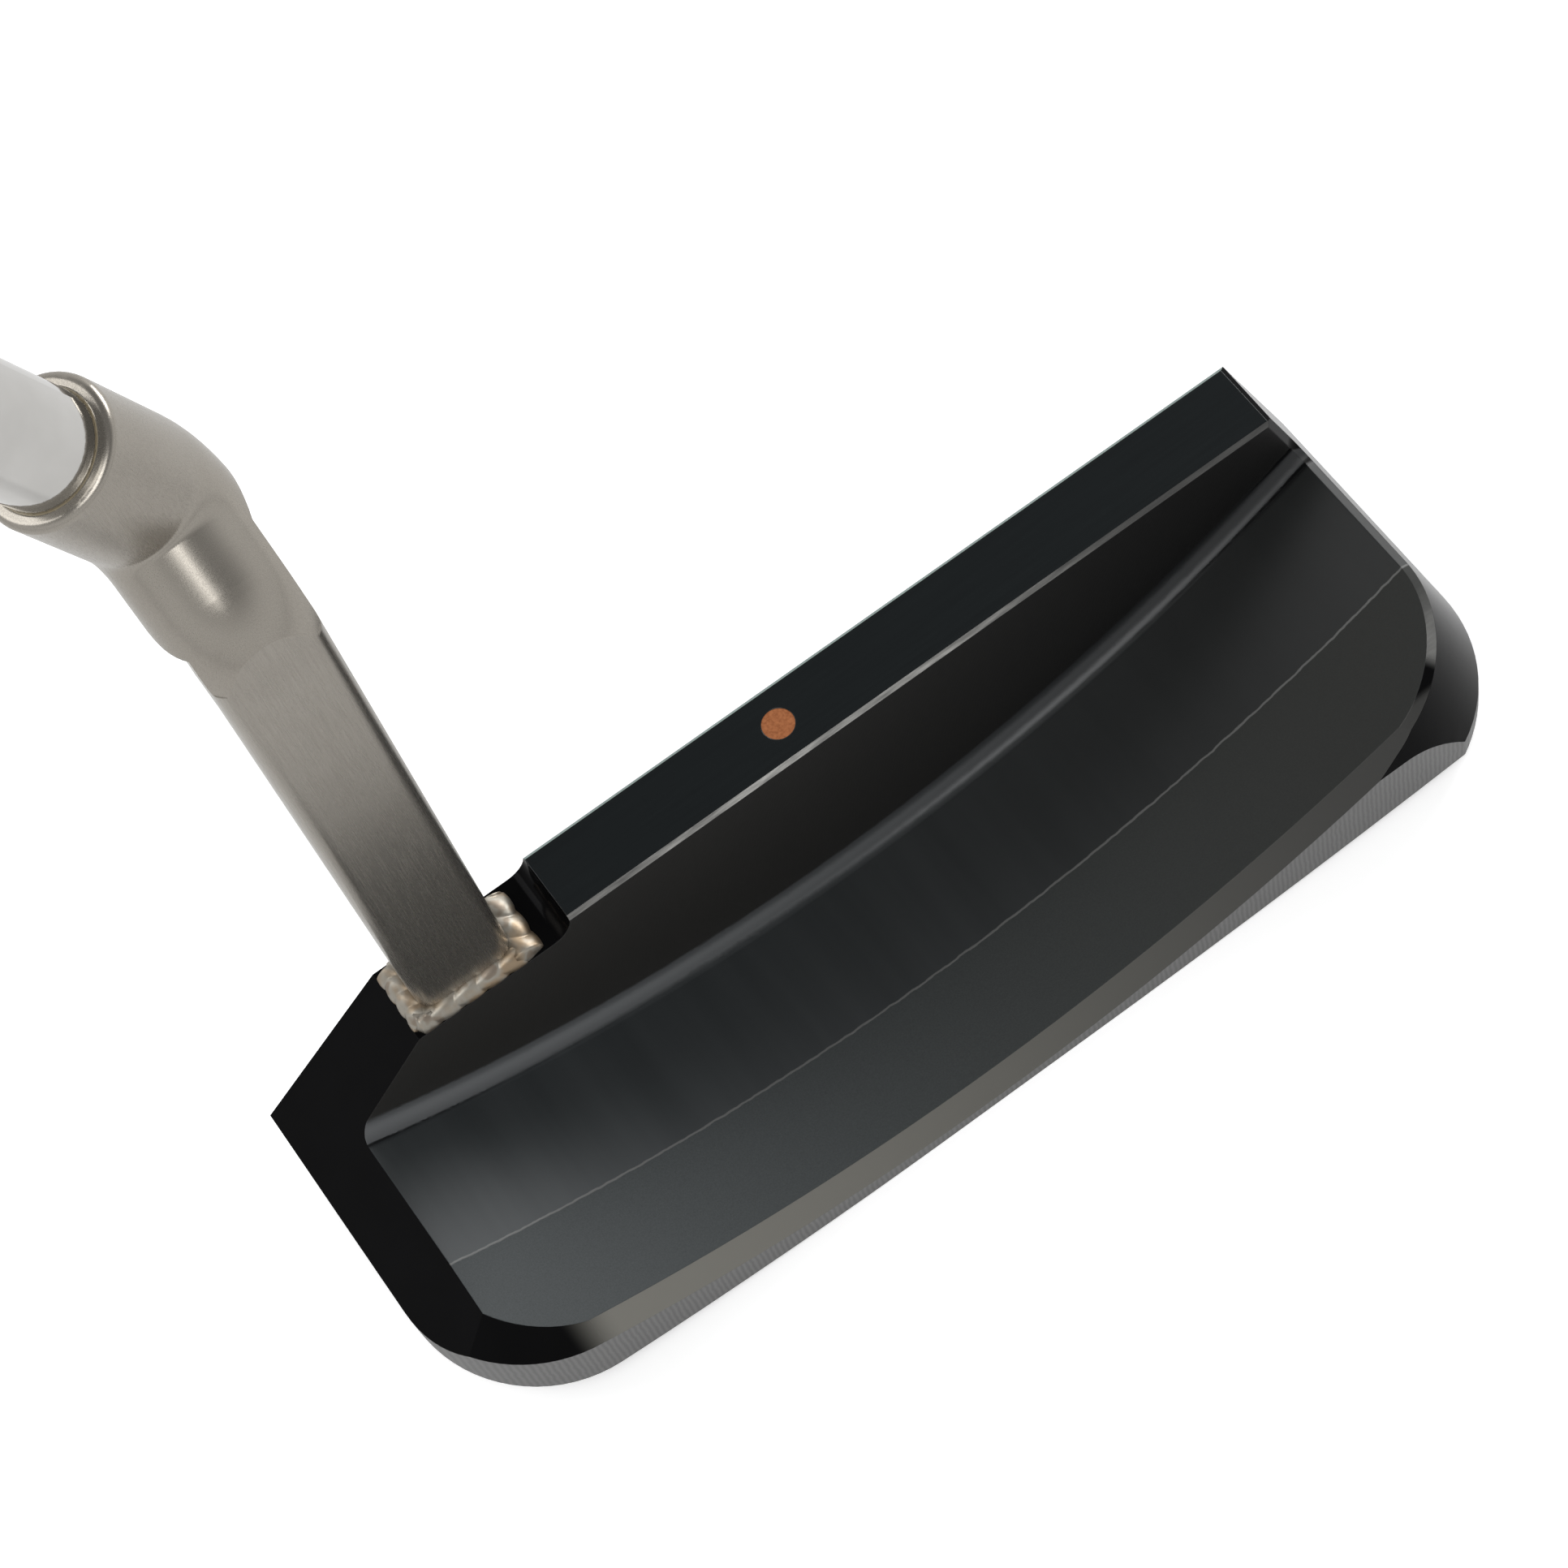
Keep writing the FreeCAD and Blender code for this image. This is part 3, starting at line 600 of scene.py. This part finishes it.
def body_rings():
    """The patterned length of the grip, which is smooth near both ends."""
    length = GRIP_LENGTH - CAP_ROUNDING - FOOT_ROUNDING
    for ring in range(GRIP_RINGS):
        up = FOOT_ROUNDING + length * ring / (GRIP_RINGS - 1)
        start_fade = ease((up - SMOOTH_FOOT) / PATTERN_FADE)
        end_fade = ease((GRIP_LENGTH - SMOOTH_HEAD - up) / PATTERN_FADE)
        yield up, 1.0, start_fade * end_fade, None


def cap_rings():
    """The rounded edge of the grip's cap."""
    for step in range(1, CAP_STEPS + 1):
        turn = step / CAP_STEPS * math.pi / 2
        up = GRIP_LENGTH - CAP_ROUNDING * (1 - math.sin(turn))
        yield up, 1 - CAP_SHRINK * (1 - math.cos(turn)), 0.0, None


def grip_rings():
    """(distance up, scale, pattern, round radius or None) for each ring, from bore to vent."""
    dish = GRIP_LENGTH - DISH_DEPTH
    return [
        (BORE_DEPTH, 1.0, 0.0, GRIP_BORE),
        (0.0, 1.0, 0.0, GRIP_BORE),
        (0.0, 0.93, 0.0, None),
        (0.25 * MM, 0.975, 0.0, None),
        *body_rings(),
        *cap_rings(),
        (GRIP_LENGTH, 0.55, 0.0, None),
        (dish, 0.50, 0.0, None),
        (dish, 1.0, 0.0, VENT_RADIUS),
        (GRIP_LENGTH - VENT_DEPTH, 1.0, 0.0, VENT_RADIUS),
    ]


def grip(material):
    mount = next(m for m in frame["record"]["mounts"] if m["name"] == "grip_hold")
    axis = Vector(mount["axis"]).normalized()
    across = Vector((0, 1, 0))
    front = across.cross(axis)
    foot = Vector(mount["pos_m"]) - axis * GRIP_BELOW_MOUNT
    rings = grip_rings()
    points = []
    for up, scale, pattern, round_radius in rings:
        for side in range(GRIP_SIDES):
            turn = 2 * math.pi * side / GRIP_SIDES
            if round_radius is None:
                outline = moulded_outline(up, turn, scale, pattern)
            else:
                outline = Vector((math.cos(turn), math.sin(turn))) * round_radius
            points.append(foot + axis * up + front * outline.x + across * outline.y)
    piece = new_mesh_object("grip_moulded", points, tube_faces(len(rings), GRIP_SIDES))
    piece.data.materials.append(material)
    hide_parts("grip")
    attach(piece, "root")


def dress_nodes(materials):
    for name, material in materials.items():
        slots = NODES[name].data.materials
        slots.clear()
        slots.append(material)


# ---- the studio ----
FLOOR_GLOW = 0.45
FLOOR_HALF_SIZE = 6.0
HORIZON = 0.85              # light from the sides
CEILING = 0.22              # light from overhead
HORIZON_TOP = 0.35          # heights, on a sphere of radius 1, between which one fades to the other
CEILING_FOOT = 0.85


def seen_directly(tree):
    """1 for rays from the camera or through glass, which see the background as white."""
    path = tree.nodes.new("ShaderNodeLightPath")
    seen = tree.nodes.new("ShaderNodeMath")
    seen.operation = "MAXIMUM"
    tree.links.new(path.outputs["Is Camera Ray"], seen.inputs[0])
    tree.links.new(path.outputs["Is Transmission Ray"], seen.inputs[1])
    return seen


def floor():
    """A plain pale floor, seen as white, that keeps the club's shadow."""
    size = FLOOR_HALF_SIZE
    points = [(-size, -size, 0), (size, -size, 0), (size, size, 0), (-size, size, 0)]
    plane = new_mesh_object("studio_floor", points, [(0, 1, 2, 3)])
    material = bpy.data.materials.new("studio_floor")
    material.use_nodes = True
    tree = material.node_tree
    shader = tree.nodes["Principled BSDF"]
    shader.inputs["Base Color"].default_value = (0.88, 0.88, 0.88, 1)
    shader.inputs["Roughness"].default_value = 0.9
    shader.inputs["Emission Color"].default_value = (1, 1, 1, 1)
    seen = seen_directly(tree)
    glow = tree.nodes.new("ShaderNodeMath")
    glow.operation = "MULTIPLY"
    glow.inputs[1].default_value = FLOOR_GLOW
    tree.links.new(seen.outputs[0], glow.inputs[0])
    tree.links.new(glow.outputs[0], shader.inputs["Emission Strength"])
    plane.data.materials.append(material)


def world():
    """White where it is seen. As light it is a pale horizon under a dim ceiling, like a tented table."""
    scene_world = bpy.data.worlds.new("studio_world")
    bpy.context.scene.world = scene_world
    scene_world.use_nodes = True
    tree = scene_world.node_tree
    background = tree.nodes["Background"]
    background.inputs["Color"].default_value = (1, 1, 1, 1)
    seen = seen_directly(tree)
    direction = tree.nodes.new("ShaderNodeTexCoord")
    parts = tree.nodes.new("ShaderNodeSeparateXYZ")
    tree.links.new(direction.outputs["Generated"], parts.inputs[0])
    ceiling = tree.nodes.new("ShaderNodeMapRange")
    ceiling.interpolation_type = "SMOOTHSTEP"
    fade = {"From Min": HORIZON_TOP, "From Max": CEILING_FOOT, "To Min": HORIZON, "To Max": CEILING}
    for name, value in fade.items():
        ceiling.inputs[name].default_value = value
    tree.links.new(parts.outputs["Z"], ceiling.inputs["Value"])
    strength = tree.nodes.new("ShaderNodeMix")
    tree.links.new(seen.outputs[0], strength.inputs["Factor"])
    tree.links.new(ceiling.outputs[0], strength.inputs[2])
    strength.inputs[3].default_value = 1.0
    tree.links.new(strength.outputs[0], background.inputs["Strength"])


def softbox(name, place, target, width, height, power):
    lamp = bpy.data.lights.new(name, "AREA")
    lamp.shape = "RECTANGLE"
    lamp.size = width
    lamp.size_y = height
    lamp.energy = power
    fixture = bpy.data.objects.new(name, lamp)
    fixture.location = place
    aim = Vector(target) - Vector(place)
    fixture.rotation_euler = aim.to_track_quat("-Z", "Y").to_euler()
    bpy.context.scene.collection.objects.link(fixture)


def lamps():
    head = (0, 0, 0.02)
    softbox("toe_front_box", (1.3, 0.9, 0.9), head, 0.9, 0.7, 16)
    softbox("top_box", (-0.5, -0.6, 1.7), head, 1.0, 1.0, 12)
    softbox("heel_front_box", (-1.1, 0.9, 1.1), head, 0.7, 0.7, 4)


def camera():
    azimuth = math.radians(CAMERA_AZIMUTH)
    elevation = math.radians(CAMERA_ELEVATION)
    roll = math.radians(CAMERA_ROLL)
    forward = Vector((
        math.cos(elevation) * math.sin(azimuth),
        math.cos(elevation) * math.cos(azimuth),
        -math.sin(elevation),
    ))
    level_right = forward.cross(UP).normalized()
    level_down = forward.cross(level_right)
    right = level_right * math.cos(roll) + level_down * math.sin(roll)
    down = level_down * math.cos(roll) - level_right * math.sin(roll)
    lens = bpy.data.cameras.new("camera")
    lens.lens = LENS_MM
    lens.sensor_width = SENSOR_MM
    lens.clip_start = 0.01
    lens.clip_end = 50.0
    eye = bpy.data.objects.new("camera", lens)
    turn = Matrix((right, -down, -forward)).transposed().to_4x4()
    eye.matrix_world = Matrix.Translation(CAMERA_PLACE) @ turn
    bpy.context.scene.collection.objects.link(eye)
    bpy.context.scene.camera = eye


clean_start()
camera()
floor()
world()
lamps()
dress_nodes({
    "head": black_steel(),
    "sight_dot": copper_paint(),
    "neck": satin_steel(),
    "shaft": chrome_steel(),
    "epoxy_bond": cured_epoxy(),
    "grip_tape": paper_tape(),
})
weld_beads(weld_steel())
grip(grip_rubber())

bpy.context.scene.view_settings.view_transform = "Standard"
